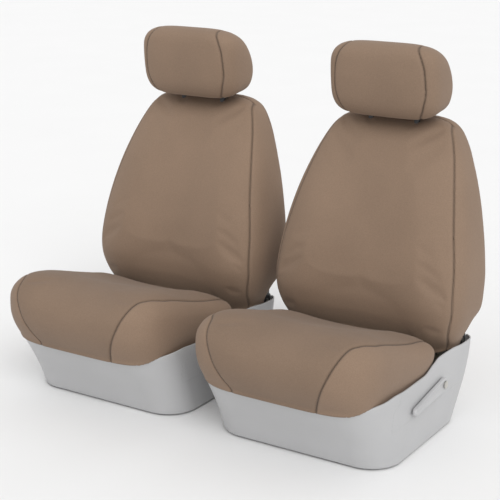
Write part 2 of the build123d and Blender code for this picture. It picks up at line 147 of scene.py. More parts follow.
# Straps under the cushion and the backrest, and the sliders on them
strap_width = 0.025
strap_thick = 0.0018
strap_edge = 0.0175
slider_y = 0.108
slider_width = 0.031
slider_length = 0.022
slider_bar = 0.0022
closure_width = 0.060
closure_thick = 0.0020
closure_tuck = 0.022
flap_width = 0.052
flap_thick = 0.0016
flap_drop = 0.0036

# Headrest: side outline, (y, z), and half width
head_outline = [(0.410, 0.998), (0.407, 0.960), (0.411, 0.905), (0.424, 0.846), (0.456, 0.814),
                (0.506, 0.818), (0.556, 0.828), (0.580, 0.862), (0.582, 0.905), (0.562, 0.955),
                (0.524, 1.000), (0.474, 1.021), (0.432, 1.018)]
head_middle = (0.494, 0.915)
head_half = 0.166
head_fullness = 4.4
head_seam = [(0.812, 0.104), (0.850, 0.126), (0.900, 0.137), (0.950, 0.134), (0.990, 0.122),
             (1.022, 0.100)]
head_swell = 0.004

# Base: half width, front, rear and front corner radius at each height, (z, value)
base_half = [(0.0, 0.262), (0.070, 0.265), (0.130, 0.268), (0.190, 0.270), (0.240, 0.271)]
base_front = [(0.0, 0.0), (0.070, -0.030), (0.130, -0.067), (0.190, -0.108), (0.240, -0.136)]
base_rear = [(0.0, 0.428), (0.070, 0.474), (0.130, 0.506), (0.190, 0.524), (0.240, 0.530)]
base_corner = [(0.0, 0.088), (0.070, 0.096), (0.130, 0.108), (0.190, 0.122), (0.240, 0.134)]
base_rear_corner = 0.045
base_low = 0.005
base_wall = 0.0036
base_edge_round = 0.0008
base_rim = [(-0.160, 0.188), (-0.100, 0.191), (-0.040, 0.205), (0.020, 0.209), (0.090, 0.204),
            (0.200, 0.204), (0.250, 0.218), (0.295, 0.229), (0.370, 0.227), (0.446, 0.219), (0.530, 0.218)]
rear_low = 0.050
rear_top = 0.160
rear_from_y = (0.45, 0.47)
rear_within_x = (0.236, 0.246)
shield_low = 0.107
shield_front = [(0.090, 0.022), (0.160, 0.022), (0.168, 0.025), (0.182, 0.058), (0.240, 0.064)]
shield_round = 0.014
shield_inner = 0.2425
shield_reach = 0.008

# Recline lever: the radii of its hub and tip, how far apart they are, and how far it droops ahead
lever_hub = 0.018
lever_tip = 0.011
lever_length = 0.168
lever_droop = radians(7)


# Curves
def through(table, place):
    """A smooth curve through a table's (place, value) rows, read at a place."""
    places, values = np.array(table).T
    rises = np.diff(values) / np.diff(places)
    slopes = np.concatenate([rises[:1], np.zeros(len(rises) - 1), rises[-1:]])
    same_way = rises[:-1] * rises[1:] > 0
    total = np.where(same_way, rises[:-1] + rises[1:], 1)
    slopes[1:-1] = np.where(same_way, 2 * rises[:-1] * rises[1:] / total, 0)
    place = np.clip(place, places[0], places[-1])
    row = np.clip(np.searchsorted(places, place, side="right") - 1, 0, len(rises) - 1)
    step = np.diff(places)[row]
    t = (place - places[row]) / step
    ends = (2 * t**3 - 3 * t**2 + 1) * values[row] + (3 * t**2 - 2 * t**3) * values[row + 1]
    bend = (t**3 - 2 * t**2 + t) * slopes[row] + (t**3 - t**2) * slopes[row + 1]
    return ends + bend * step


def power(value, exponent):
    """A power that keeps its base's sign."""
    return np.sign(value) * np.abs(value) ** exponent


def cos_power(angle, exponent):
    """A cosine's size raised to a power."""
    return np.abs(np.cos(angle)) ** exponent


def smooth(value, low, high):
    """0 below low, 1 above high, and a smooth rise between them."""
    t = np.clip((value - low) / (high - low), 0, 1)
    return t * t * (3 - 2 * t)


def even(curve, low, high, count):
    """Values of a curve's parameter whose points lie evenly along it."""
    t = np.linspace(low, high, 4000)
    points = np.stack(curve(t), axis=-1)
    steps = np.linalg.norm(np.diff(points, axis=0), axis=1)
    run = np.concatenate([[0], np.cumsum(steps)])
    return np.interp(np.linspace(0, run[-1], count), run, t)


# Meshes
def read_points(piece):
    points = np.empty(len(piece.data.vertices) * 3)
    piece.data.vertices.foreach_get("co", points)
    return points.reshape(-1, 3)


def read_normals(piece):
    normals = np.empty(len(piece.data.vertices) * 3)
    piece.data.vertices.foreach_get("normal", normals)
    return normals.reshape(-1, 3)


def write_points(piece, points):
    piece.data.vertices.foreach_set("co", points.reshape(-1).astype(np.float32))
    piece.data.update()


def new_piece(name, points, faces):
    mesh = bpy.data.meshes.new(name)
    mesh.from_pydata(np.asarray(points).tolist(), [], faces)
    mesh.validate()
    mesh.shade_smooth()
    piece = bpy.data.objects.new(name, mesh)
    bpy.context.scene.collection.objects.link(piece)
    return piece


def skin(name, rings, closed=True, capped=True):
    """A mesh through rings of points, the first and last ring closed by a fan when capped."""
    rows, count = rings.shape[:2]
    points = rings.reshape(-1, 3)
    faces = []
    for row in range(rows - 1):
        for i in range(count if closed else count - 1):
            j = (i + 1) % count
            low, high = row * count, (row + 1) * count
            faces.append((low + i, low + j, high + j, high + i))
    if capped:
        points = np.vstack([points, rings[0].mean(axis=0), rings[-1].mean(axis=0)])
        last = (rows - 1) * count
        for i in range(count):
            j = (i + 1) % count
            faces.append((j, i, rows * count))
            faces.append((last + i, last + j, rows * count + 1))
    return new_piece(name, points, faces)


def modified(piece, kind, **settings):
    """Add a modifier and write its result into the mesh."""
    modifier = piece.modifiers.new(kind.lower(), kind)
    for name, value in settings.items():
        setattr(modifier, name, value)
    bpy.context.view_layer.update()
    seen = piece.evaluated_get(bpy.context.evaluated_depsgraph_get())
    mesh = bpy.data.meshes.new_from_object(seen)
    piece.modifiers.clear()
    piece.data = mesh
    mesh.shade_smooth()
    return piece


def duplicate(piece, name):
    other = piece.copy()
    other.data = piece.data.copy()
    other.name = name
    bpy.context.scene.collection.objects.link(other)
    return other


def shrink(piece, amount):
    """Move every point in along its normal."""
    write_points(piece, read_points(piece) - amount * read_normals(piece))
    return piece


def swell(piece, seams, limit):
    """Fill a closed cover by cloth simulation: seams hold it, and no point moves further than limit."""
    modified(piece, "REMESH", mode="VOXEL", voxel_size=voxel)
    modified(piece, "SMOOTH", factor=0.5, iterations=3)
    rest = read_points(piece)
    normals = read_normals(piece)
    near = np.zeros(len(rest))
    for seam in seams:
        distance = seam_distance(rest, normals, seam)[0]
        near = np.maximum(near, np.exp(-(distance / seam_hold) ** 2))
    held = piece.vertex_groups.new(name="held")
    for index, weight in enumerate(near.tolist()):
        held.add([index], weight, "REPLACE")
    cloth = piece.modifiers.new("cloth", "CLOTH")
    cloth.settings.quality = 5
    cloth.settings.tension_stiffness = cloth_stiffness
    cloth.settings.compression_stiffness = cloth_stiffness
    cloth.settings.bending_stiffness = cloth_bending
    cloth.settings.use_pressure = True
    cloth.settings.uniform_pressure_force = pressure
    cloth.settings.vertex_group_mass = "held"
    cloth.settings.effector_weights.gravity = 0
    cloth.point_cache.frame_start = 1
    cloth.point_cache.frame_end = cloth_frames
    for step in range(1, cloth_frames + 1):
        bpy.context.scene.frame_set(step)
    seen = piece.evaluated_get(bpy.context.evaluated_depsgraph_get())
    filled = np.empty(len(rest) * 3)
    seen.data.vertices.foreach_get("co", filled)
    piece.modifiers.clear()
    piece.vertex_groups.clear()
    bpy.context.scene.frame_set(1)
    move = filled.reshape(-1, 3) - rest
    length = np.linalg.norm(move, axis=1, keepdims=True)
    write_points(piece, rest + move * limit / np.maximum(length, limit))
    return piece


def seam_distance(points, normals, seam):
    """How far each point of a cover is from a seam, and the way to it along the cover."""
    value = seam(points)
    step = 1e-5
    slope = np.stack([(seam(points + step * axis) - value) / step for axis in np.eye(3)], axis=-1)
    slope -= normals * np.sum(slope * normals, axis=1, keepdims=True)
    steep = np.maximum(np.linalg.norm(slope, axis=1, keepdims=True), least_slope)
    return value / steep[:, 0], slope / steep


def draw_onto(piece, line, reach):
    """Move the points of a surface that lie nearest to a line, and within reach of it, onto it."""
    points = read_points(piece)
    distance, away = seam_distance(points, read_normals(piece), line)
    edges = np.array([edge.vertices[:] for edge in piece.data.edges])
    crossing = edges[distance[edges[:, 0]] * distance[edges[:, 1]] <= 0]
    nearer = np.abs(distance[crossing[:, 0]]) < np.abs(distance[crossing[:, 1]])
    chosen = np.unique(np.where(nearer, crossing[:, 0], crossing[:, 1]))
    chosen = chosen[np.abs(distance[chosen]) < reach]
    points[chosen] -= (distance[:, None] * away)[chosen]
    write_points(piece, points)


def sew(piece, seams, hems=()):
    """Draw the nearest points onto each seam and hem, sink the seams, and mark them for the material,
    which paints shade along them.
    """
    modified(piece, "SUBSURF", levels=1)
    for line in [*seams, *hems]:
        draw_onto(piece, line, voxel)
    points = read_points(piece)
    normals = read_normals(piece)
    sunk = np.zeros(len(points))
    for seam in seams:
        distance = seam_distance(points, normals, seam)[0]
        sunk = np.maximum(sunk, np.exp(-(distance / seam_width) ** 2))
    write_points(piece, points - seam_depth * sunk[:, None] * normals)
    mark = piece.data.attributes.new("seam", "FLOAT", "POINT")
    mark.data.foreach_set("value", sunk.astype(np.float32))
    return piece


def picked(surface, name, chosen):
    """The faces of a surface whose middles are chosen."""
    piece = duplicate(surface, name)
    middles = np.empty(len(piece.data.polygons) * 3)
    piece.data.polygons.foreach_get("center", middles)
    keep = chosen(middles.reshape(-1, 3)).tolist()
    mesh = bmesh.new()
    mesh.from_mesh(piece.data)
    mesh.faces.ensure_lookup_table()
    dropped = [face for face, kept in zip(mesh.faces, keep) if not kept]
    bmesh.ops.delete(mesh, geom=dropped, context="FACES")
    mesh.to_mesh(piece.data)
    mesh.free()
    return piece


def panel(cover, name, chosen):
    """Part of a cover as a piece with turned-in edges."""
    piece = picked(cover, name, chosen)
    return modified(piece, "SOLIDIFY", thickness=fabric_edge, offset=-1, use_rim_only=True)


def place(piece, part, body, slot, replaced=(), fill=None, look=None):
    """Put a piece on the driver's seat and its mirror image on the passenger's."""
    if look is not None:
        piece.data.materials.clear()
        piece.data.materials.append(look)
    for seat, side in (("driver", 1), ("passenger", -1)):
        copy = duplicate(piece, f"{seat}_{part}")
        points = read_points(copy)
        points[:, 0] = side * (points[:, 0] + seat_x)
        points[:, 1] += seat_y
        write_points(copy, points)
        if side < 0:
            copy.data.flip_normals()
        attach(copy, f"{seat}_{body}")
        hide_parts(*[f"{seat}_{node}" for node in replaced])
    bpy.data.objects.remove(piece)


# Materials
class Look:
    """A material whose shader and texture nodes are added by name."""

    def __init__(self, name, colour, roughness, **values):
        self.material = bpy.data.materials.new(name)
        self.material.use_nodes = True
        self.tree = self.material.node_tree
        self.shader = self.tree.nodes["Principled BSDF"]
        self.shader.inputs["Base Color"].default_value = (*colour, 1)
        self.shader.inputs["Roughness"].default_value = roughness
        for setting, value in values.items():
            socket = setting.replace("_", " ").title().replace("Ior", "IOR")
            self.shader.inputs[socket].default_value = value
        self.place = self.add("ShaderNodeTexCoord").outputs["Object"]

    def add(self, kind, settings=None, **inputs):
        """A node, its inputs given by name, or by number as n0, n1 and so on."""
        node = self.tree.nodes.new(kind)
        for name, value in (settings or {}).items():
            setattr(node, name, value)
        for name, value in inputs.items():
            numbered = name[0] == "n" and name[1:].isdigit()
            socket = node.inputs[int(name[1:]) if numbered else name]
            if isinstance(value, bpy.types.NodeSocket):
                self.tree.links.new(value, socket)
            else:
                socket.default_value = value
        return node

    def math(self, operation, first, second=0.0):
        return self.add("ShaderNodeMath", {"operation": operation}, n0=first, n1=second).outputs[0]

    def noise(self, scale, detail=3.0):
        node = self.add("ShaderNodeTexNoise", Vector=self.place, Scale=scale, Detail=detail)
        return node.outputs["Fac"]

    def cells(self, scale):
        node = self.add("ShaderNodeTexVoronoi", Vector=self.place, Scale=scale)
        return node.outputs["Distance"]

    def between(self, factor, low, high, first, second):
        """Two colours mixed as the factor goes from low to high."""
        ramp = self.add("ShaderNodeValToRGB", Fac=factor)
        ramp.color_ramp.elements[0].position = low
        ramp.color_ramp.elements[1].position = high
        ramp.color_ramp.elements[0].color = (*first, 1)
        ramp.color_ramp.elements[1].color = (*second, 1)
        return ramp.outputs["Color"]

    def blend(self, factor, first, second, kind="MIX"):
        settings = {"data_type": "RGBA", "blend_type": kind}
        node = self.add("ShaderNodeMix", settings, n0=factor, n6=first, n7=second)
        return node.outputs[2]

    def colour(self, socket):
        self.tree.links.new(socket, self.shader.inputs["Base Color"])

    def rough(self, factor, low, high):
        node = self.add("ShaderNodeMapRange", Value=factor)
        node.inputs["To Min"].default_value = low
        node.inputs["To Max"].default_value = high
        self.tree.links.new(node.outputs["Result"], self.shader.inputs["Roughness"])

    def bump(self, height, strength, distance, under=None):
        node = self.add("ShaderNodeBump", Height=height, Strength=strength, Distance=distance)
        if under is not None:
            self.tree.links.new(under, node.inputs["Normal"])
        self.tree.links.new(node.outputs["Normal"], self.shader.inputs["Normal"])
        return node.outputs["Normal"]


def tone(colour, factor):
    return tuple(factor * part for part in colour)


def weave(look, pitch):
    """Height of a plain weave, seen square on whichever way the cloth faces."""
    turns = 2 * pi / pitch
    split = look.add("ShaderNodeSeparateXYZ", Vector=look.place)
    normal = look.add("ShaderNodeNewGeometry").outputs["Normal"]
    facing = look.add("ShaderNodeSeparateXYZ", Vector=normal)
    waves = [look.math("SINE", look.math("MULTIPLY", split.outputs[axis], turns)) for axis in range(3)]
    total = None
    for axis in range(3):
        first, second = waves[(axis + 1) % 3], waves[(axis + 2) % 3]
        share = look.math("POWER", look.math("ABSOLUTE", facing.outputs[axis]), 3.0)
        part = look.math("MULTIPLY", look.math("MULTIPLY", first, second), share)
        total = part if total is None else look.math("ADD", total, part)
    return look.math("MULTIPLY_ADD", total, 0.5)


taupe = (0.236, 0.161, 0.111)


def cover_fabric(name, shade):
    """Fine taupe knit on a foam backing, with painted shade darkening it along the sunk seams; a shade
    below 1 gives a darker copy, also painted shade.
    """
    look = Look(name, tone(taupe, shade), 0.82, sheen_weight=0.06, specular_ior_level=0.35)
    pale, dark = tone(taupe, 1.05 * shade), tone(taupe, 0.95 * shade)
    cloudy = look.between(look.noise(5, 2), 0.3, 0.7, dark, pale)
    thread = look.between(look.noise(420, 2), 0.25, 0.75, (0.90, 0.90, 0.90), (1.08, 1.08, 1.08))
    mottled = look.blend(1.0, cloudy, thread, "MULTIPLY")
    # Painted shade: the colour darkens along the seams, standing in for the shade in their grooves.
    seam = look.add("ShaderNodeAttribute", {"attribute_name": "seam"}).outputs["Fac"]
    painted_seam_shade = look.math("POWER", seam, 1.6)
    look.colour(look.blend(look.math("MULTIPLY", painted_seam_shade, 0.75), mottled, (*tone(taupe, 0.30), 1)))
    look.rough(look.noise(90), 0.74, 0.92)
    knit = weave(look, 0.0026)
    fuzz = look.bump(look.noise(700, 2), 0.10, 0.0004)
    look.bump(knit, 0.10, 0.0004, fuzz)
    return look.material


def woven(name, colour, pitch):
    """Elastic, webbing or hook-and-loop tape."""
    look = Look(name, colour, 0.8, sheen_weight=0.1)
    knit = weave(look, pitch)
    look.colour(look.between(knit, -0.4, 0.5, tone(colour, 0.6), tone(colour, 1.35)))
    look.bump(knit, 0.5, 0.0006)
    return look.material


def foam():
    """Moulded open-cell foam, cream and slightly yellowed."""
    colour = (0.50, 0.43, 0.28)
    look = Look("seat_foam", colour, 0.95)
    look.colour(look.between(look.noise(9), 0.3, 0.7, tone(colour, 0.85), tone(colour, 1.1)))
    look.bump(look.cells(420), 0.5, 0.001)
    return look.material


def plastic(name, colour, roughness):
    """Moulded plastic with a fine spark-eroded grain."""
    look = Look(name, colour, roughness)
    look.colour(look.between(look.noise(6, 4), 0.3, 0.7, tone(colour, 0.97), tone(colour, 1.03)))
    look.rough(look.noise(160), roughness - 0.06, roughness + 0.08)
    look.bump(look.cells(900), 0.10, 0.0003)
    return look.material


def metal(name, colour, roughness, grain, metallic=1.0):
    """Steel, coated or bare, with slight wear in its gloss."""
    look = Look(name, colour, roughness, metallic=metallic)
    look.colour(look.between(look.noise(grain), 0.3, 0.7, tone(colour, 0.88), tone(colour, 1.1)))
    look.rough(look.noise(60, 5), roughness * 0.8, roughness * 1.35)
    look.bump(look.noise(grain * 8), 0.06, 0.0004)
    return look.material


# Shapes of the covers
def cushion_plan(angle):
    """The cushion's outline from above, as shares of its half width and reach."""
    exponent = 2 / np.where(np.sin(angle) < 0, cushion_front_fullness, cushion_rear_fullness)
    return power(np.cos(angle), exponent), power(np.sin(angle), exponent)


def cushion_top(x, y):
    """Height of the cushion's top."""
    return through(cushion_crest, y) + through(cushion_crown, np.abs(x) / cushion_half)


def hidden_floor(low, depth):
    """Rings that carry a cover's wall on below its lower edge, and close it underneath."""
    below = low - [0, 0, depth]
    middle = below.mean(axis=0)
    inner = [middle + share * (below - middle) for share in (0.4, 0.75)]
    return inner + [below, low - [0, 0, depth / 2]]


def cushion_shape():
    """Closed rings from the turned-in hem, up the sides and over the top."""
    around = even(cushion_plan, 0, 2 * pi, 241)[:-1]
    across, along = cushion_plan(around)
    front = np.maximum(0, -along)
    edge_y = cushion_middle_y + cushion_reach * along
    hem = through(cushion_hem, edge_y)
    level = through(cushion_level, edge_y)
    rings = []
    for drop in np.linspace(1, 0.08, 12):
        x = (cushion_half - cushion_tuck_side * drop**2) * across
        tuck = (cushion_tuck_front * front + 0.002) * drop**1.7
        y = cushion_middle_y + (cushion_reach - tuck) * along
        rings.append(np.stack([x, y, level - (level - hem) * drop], axis=-1))
    rings = hidden_floor(rings[0], cushion_wall_below) + rings
    fullness = 2 / cushion_arch_fullness
    arch = even(lambda t: (cos_power(t, fullness), power(np.sin(t), fullness) / 2), 0, pi / 2, 30)
    for rise in arch[:-1]:
        x = cushion_half * cos_power(rise, fullness) * across
        y = cushion_middle_y + cushion_reach * cos_power(rise, fullness) * along
        height = (cushion_top(x, y) - level) * np.sin(rise) ** fullness
        rings.append(np.stack([x, y, level + height], axis=-1))
    return np.array(rings)


def cushion_seam(points):
    """Positive outside the seams between the middle panel and the side panels."""
    x, y, z = points.T
    low = through(cushion_seam_low, z)
    top = through(cushion_seam_top, y)
    return np.abs(x) - (low + (top - low) * smooth(y, *cushion_seam_turn))


def cushion_hem_line(points):
    """Positive above the cushion cover's lower edge."""
    x, y, z = points.T
    front_lap = cushion_front_lap * (1 - smooth(y, *cushion_front_lap_end))
    side_lap = cushion_side_lap * smooth(y, *cushion_side_lap_start)
    return z - through(cushion_hem, y) + (front_lap + side_lap)


def back_plan(angle):
    """The backrest's section at any height, as shares of its half width and half depth."""
    return power(np.cos(angle), 2 / back_fullness), power(np.sin(angle), 2 / back_fullness)


def back_shape():
    """Closed rings from the backrest cover's lower edge to its top."""
    around = even(back_plan, 0, 2 * pi, 241)[:-1]
    across, along = back_plan(around)
    heights = even(lambda z: (through(back_half, z), z), back_low, back_top, 90)
    rings = []
    for z in heights:
        half, front, rear, hollow = (through(table, z) for table in
                                     (back_half, back_front, back_rear, back_hollow))
        dish = (1 - np.minimum(1, np.abs(across) / back_dish_share) ** 2) ** 2
        y = (front + rear) / 2 + (rear - front) / 2 * along
        y += hollow * dish * np.clip(-1.5 * along, 0, 1)
        rise = through(back_hem, y) - back_low + back_side_rise * smooth(np.abs(across), 0.75, 0.98)
        lift = rise * (1 - smooth(z, back_low, back_lift_end)) ** 2
        tail = smooth(y, *back_tail_y) * (1 - smooth(z, *back_tail_z))
        rings.append(np.stack([half * across * (1 - back_tail_narrow * tail), y, z + lift], axis=-1))
    return np.array(hidden_floor(rings[0], wall_below) + rings)


def back_hem_line(points):
    """Positive above the backrest cover's lower edge."""
    x, y, z = points.T
    side = smooth(np.abs(x), *back_side_start)
    return z - through(back_hem, y) - back_side_rise * side + back_lap


def back_seam_front(points):
    """Positive outside the front panel, whose seam runs up both edges and over the top."""
    x, y, z = points.T
    return np.maximum(np.abs(x) - through(back_front_seam, z), y - through(back_front_reach, z))


def back_seam_rear(points):
    """Positive behind the seam round the back panel."""
    x, y, z = points.T
    return y - through(back_rear_seam, z)


def head_side(share):
    """The headrest's side outline, as a smooth closed curve."""
    outline = np.array(head_outline)
    count = len(outline)
    row = np.floor(share * count).astype(int)
    t = (share * count - row)[:, None]
    before, here, after, beyond = (outline[(row + k) % count] for k in (-1, 0, 1, 2))
    return 0.5 * (2 * here + (after - before) * t
                  + (2 * before - 5 * here + 4 * after - beyond) * t**2
                  + (3 * here - before - 3 * after + beyond) * t**3)


def head_shape():
    """Closed rings from one end of the headrest to the other."""
    outline = head_side(np.linspace(0, 1, 121)[:-1])
    middle = np.array(head_middle)
    fullness = 2 / head_fullness
    spread = even(lambda t: (power(np.sin(t), fullness), cos_power(t, fullness)),
                  -pi / 2, pi / 2, 61)
    rings = []
    for angle in spread[1:-1]:
        profile = middle + (outline - middle) * cos_power(angle, fullness)
        x = np.full(len(profile), head_half * power(sin(angle), fullness))
        rings.append(np.column_stack([x, profile]))
    return np.array(rings)


def head_end_seam(points):
    """Positive outside the seams between the band and the end panels."""
    x, y, z = points.T
    return np.abs(x) - through(head_seam, z)


# Covers and foams
def inner_foam(cover, name):
    foam_piece = duplicate(cover, name)
    modified(foam_piece, "REMESH", mode="VOXEL", voxel_size=2 * voxel)
    modified(foam_piece, "SMOOTH", factor=0.5, iterations=4)
    return shrink(foam_piece, foam_room)


def make_cushion(fabric, painted_shade_fabric, foam_look):
    cover = skin("cushion", cushion_shape())
    shrink(cover, cushion_swell / 2)
    core = inner_foam(cover, "cushion_core")
    points = read_points(core)
    points[:, 2] = np.maximum(points[:, 2], through(cushion_hem, points[:, 1]) - foam_room)
    write_points(core, points)
    swell(cover, [cushion_seam, cushion_hem_line], cushion_swell)
    sew(cover, [cushion_seam], [cushion_hem_line])
    above = cushion_hem_line
    middle = panel(cover, "middle", lambda p: (cushion_seam(p) < 0) & (above(p) > 0))
    sides = panel(cover, "sides", lambda p: (cushion_seam(p) >= 0) & (above(p) > 0))
    bpy.data.objects.remove(cover)
    # The middle panel takes the cover fabric made darker, as painted shade on the cushion's top and front.
    place(middle, "cushion_middle_panel", "base", "cover_fabric",
          ["cushion_cover_middle"], 0.8, painted_shade_fabric)
    place(sides, "cushion_side_panels", "base", "cover_fabric",
          ["cushion_cover_sides"], 0.8, fabric)
    place(core, "cushion_foam_pad", "base", "seat_foam", ["cushion_foam"], 1.0, foam_look)


def make_backrest(fabric, foam_look):
    cover = skin("backrest", back_shape())
    shrink(cover, back_swell / 2)
    core = inner_foam(cover, "backrest_core")
    swell(cover, [back_seam_front, back_seam_rear, back_hem_line], back_swell)
    sew(cover, [back_seam_front, back_seam_rear], [back_hem_line])
    above = back_hem_line
    front = panel(cover, "front", lambda p: (back_seam_front(p) < 0) & (above(p) > 0))
    gusset = panel(cover, "gusset", lambda p: (back_seam_front(p) >= 0) & (back_seam_rear(p) < 0)
                   & (above(p) > 0))
    rear = panel(cover, "rear", lambda p: (back_seam_rear(p) >= 0) & (back_seam_front(p) >= 0)
                 & (above(p) > 0))
    bpy.data.objects.remove(cover)
    place(front, "backrest_front_panel", "backrest", "cover_fabric",
          ["backrest_cover_front"], 0.8, fabric)
    place(gusset, "backrest_gusset_panel", "backrest", "cover_fabric",
          ["backrest_cover_gusset"], 0.8, fabric)
    place(rear, "backrest_back_panel", "backrest", "cover_fabric",
          ["backrest_cover_back"], 0.8, fabric)
    place(core, "backrest_foam_pad", "backrest", "seat_foam", ["backrest_foam"], 1.0, foam_look)


def make_headrest(fabric, foam_look):
    cover = skin("headrest", head_shape())
    shrink(cover, head_swell / 2)
    core = inner_foam(cover, "headrest_core")
    swell(cover, [head_end_seam], head_swell)
    sew(cover, [head_end_seam])
    band = panel(cover, "band", lambda p: head_end_seam(p) < 0)
    ends = panel(cover, "ends", lambda p: head_end_seam(p) >= 0)
    bpy.data.objects.remove(cover)
    place(band, "headrest_band_panel", "headrest", "cover_fabric",
          ["headrest_cover_band"], 0.9, fabric)
    place(ends, "headrest_end_panels", "headrest", "cover_fabric",
          ["headrest_cover_ends"], 0.9, fabric)
    place(core, "headrest_foam_pad", "headrest", "seat_foam", ["headrest_foam"], 1.0, foam_look)


def make_hem(elastic):
    """The gathered elastic that turns in under the cushion, with a rolled inner edge."""
    around = even(cushion_plan, 0, 2 * pi, 361)[:-1]
    across, along = cushion_plan(around)
    ripple = gather_height * np.sin(gather_count * around)
    hem = through(cushion_hem, cushion_middle_y + cushion_reach * along)
    across = across * (cushion_half - cushion_tuck_side)
    along = along * (cushion_reach - cushion_tuck_front * np.maximum(0, -along))
    rings = []
    for turn in np.linspace(0, 1, 7):
        inset = hem_inset + hem_width * turn
        level = hem - hem_drop - hem_slope * turn + ripple * turn
        rings.append(hem_ring(across, along, inset, np.maximum(level, hem_bottom)))
    for angle in np.linspace(0, 1.7 * pi, 9)[1:]:
        inset = hem_inset + hem_width + hem_roll * sin(angle)
        level = hem - (hem_drop + hem_slope) - hem_roll + hem_roll * cos(angle) + ripple
        rings.append(hem_ring(across, along, inset, np.maximum(level, hem_bottom)))
    band = skin("hem", np.array(rings), capped=False)
    modified(band, "SOLIDIFY", thickness=hem_thick)
    place(band, "cushion_elastic_hem", "base", "elastic_band", ["cushion_cover_hem"], None, elastic)


def hem_ring(across, along, inset, level):
    """The cushion's lower outline moved in by an inset."""
    keep = 1 - inset / cushion_reach
    return np.stack([keep * across, cushion_middle_y + keep * along, level], axis=-1)


# Base
def base_point(share, z):
    """A point of the base's right half outline: share runs from the front middle to the rear."""
    half, front, rear, corner = (through(table, z) for table in
                                 (base_half, base_front, base_rear, base_corner))
    back = base_rear_corner
    turn = np.clip(share - 1, 0, 1) * pi / 2
    turn_back = np.clip(share - 3, 0, 1) * pi / 2
    x = np.clip(share, 0, 1) * (half - corner) + corner * np.sin(turn)
    x = x - back * (1 - np.cos(turn_back)) - np.clip(share - 4, 0, 1) * (half - back)
    y = front + corner * (1 - np.cos(turn)) + back * np.sin(turn_back)
    y = y + np.clip(share - 2, 0, 1) * (rear - front - corner - back)
    return np.stack([x, y, z + 0 * x], axis=-1)


def base_surface():
    """The whole moulded wall as one sheet, its top edge following the covers' hems."""
    steps = [(0, 1, 24), (1, 2, 26), (2, 3, 70), (3, 4, 16), (4, 5, 40)]
    half_way = np.concatenate([np.linspace(a, b, n, endpoint=False) for a, b, n in steps] + [[5]])
    top = base_point(half_way, 0.2 + 0 * half_way)
    rear_part = smooth(top[:, 1], *rear_from_y) * (1 - smooth(top[:, 0], *rear_within_x))
    high = through(base_rim, top[:, 1])
    high = high + (rear_top - high) * rear_part
    low = base_low + (rear_low - base_low) * rear_part
    rings = []
    for share in np.linspace(0, 1, 41):
        right = base_point(half_way, low + share * (high - low))
        left = right[-2:0:-1] * [-1, 1, 1]
        rings.append(np.vstack([right, left]))
    return skin("base", np.array(rings), capped=False)


def shield_line(points):
    """Positive inside a side shield's outline."""
    x, y, z = points.T
    up = np.maximum(shield_round - (z - shield_low), 0)
    back = np.maximum(shield_round - (y - through(shield_front, z)), 0)
    outline = shield_round - np.hypot(up, back)
    return np.minimum(outline, np.abs(x) - shield_inner)


def make_base(grey):
    wall = base_surface()
    draw_onto(wall, shield_line, shield_reach)
    skirt = plastic_panel(wall, "skirt", lambda p: shield_line(p) < 0)
    outboard = plastic_panel(wall, "outboard", lambda p: (shield_line(p) >= 0) & (p[:, 0] > 0))
    inboard = plastic_panel(wall, "inboard", lambda p: (shield_line(p) >= 0) & (p[:, 0] < 0))
    bpy.data.objects.remove(wall)
    place(skirt, "moulded_skirt", "base", "grey_plastic", ["base_skirt"], None, grey)
    place(outboard, "outboard_shield", "base", "grey_plastic", ["side_shield_outboard"], None, grey)
    place(inboard, "inboard_shield", "base", "grey_plastic", ["side_shield_inboard"], None, grey)


def plastic_panel(wall, name, chosen):
    """Part of the base's wall, with its thickness and softened edges."""
    piece = picked(wall, name, chosen)
    modified(piece, "SOLIDIFY", thickness=base_wall, offset=-1)
    return modified(piece, "BEVEL", width=base_edge_round, segments=2, limit_method="ANGLE",
                    angle_limit=radians(50))


def make_lever(grey):
    """The tapering recline handle, with a shallow finger dish along its outer face."""
    pivot = Vector((pin_low.x - seat_x, (pin_low.y + pin_high.y) / 2 - seat_y,
                    (pin_low.z + pin_high.z) / 2))
    outline = [(lever_hub * sin(a), lever_hub * cos(a)) for a in np.linspace(0, pi, 20)]
    outline += [(-lever_length + lever_tip * sin(a), lever_tip * cos(a))
                for a in np.linspace(pi, 2 * pi, 16)]
    level, slope = cos(lever_droop), sin(lever_droop)
    outline = [(y * level - z * slope, y * slope + z * level) for y, z in outline]
    outline = np.array(outline) + [pivot.y, pivot.z]
    thick = lever_high.x - lever_low.x
    inner = lever_low.x - seat_x
    middle = outline.mean(axis=0)
    rings = []
    for grow, depth in ((0.90, 0.0), (1.0, 0.0015), (1.0, thick - 0.004), (0.93, thick - 0.001),
                        (0.84, thick), (0.60, thick - 0.0015), (0.30, thick - 0.002)):
        ring = middle + (outline - middle) * [1 - (1 - grow) * 0.35, grow]
        rings.append(np.column_stack([np.full(len(ring), inner + depth), ring]))
    lever = skin("lever", np.array(rings)[:, ::-1])
    modified(lever, "SUBSURF", levels=2)
    place(lever, "recline_handle", "lever", "grey_plastic", ["recline_lever"], None, grey)


# Straps
def strap(name, path, width, thickness):
    """A flat strap along a smooth path of (y, z) points, its middle at x = 0."""
    run, height = np.array(path).T
    order = np.argsort(run)
    table = list(zip(run[order], height[order]))
    y = np.linspace(run.min(), run.max(), 90)
    z = through(table, y)
    rings = [np.column_stack([np.full(len(y), x), y, z]) for x in np.linspace(-width / 2, width / 2, 5)]
    piece = skin(name, np.array(rings), closed=False, capped=False)
    modified(piece, "SOLIDIFY", thickness=thickness, offset=0)
    return modified(piece, "BEVEL", width=thickness * 0.3, segments=2, limit_method="ANGLE")


def moved(piece, shift):
    write_points(piece, read_points(piece) + shift)
    return piece


def joined(name, pieces):
    """Several pieces as one, their meshes side by side."""
    mesh = bmesh.new()
    for piece in pieces:
        mesh.from_mesh(piece.data)
        bpy.data.objects.remove(piece)
    data = bpy.data.meshes.new(name)
    mesh.to_mesh(data)
    mesh.free()
    piece = bpy.data.objects.new(name, data)
    bpy.context.scene.collection.objects.link(piece)
    return piece


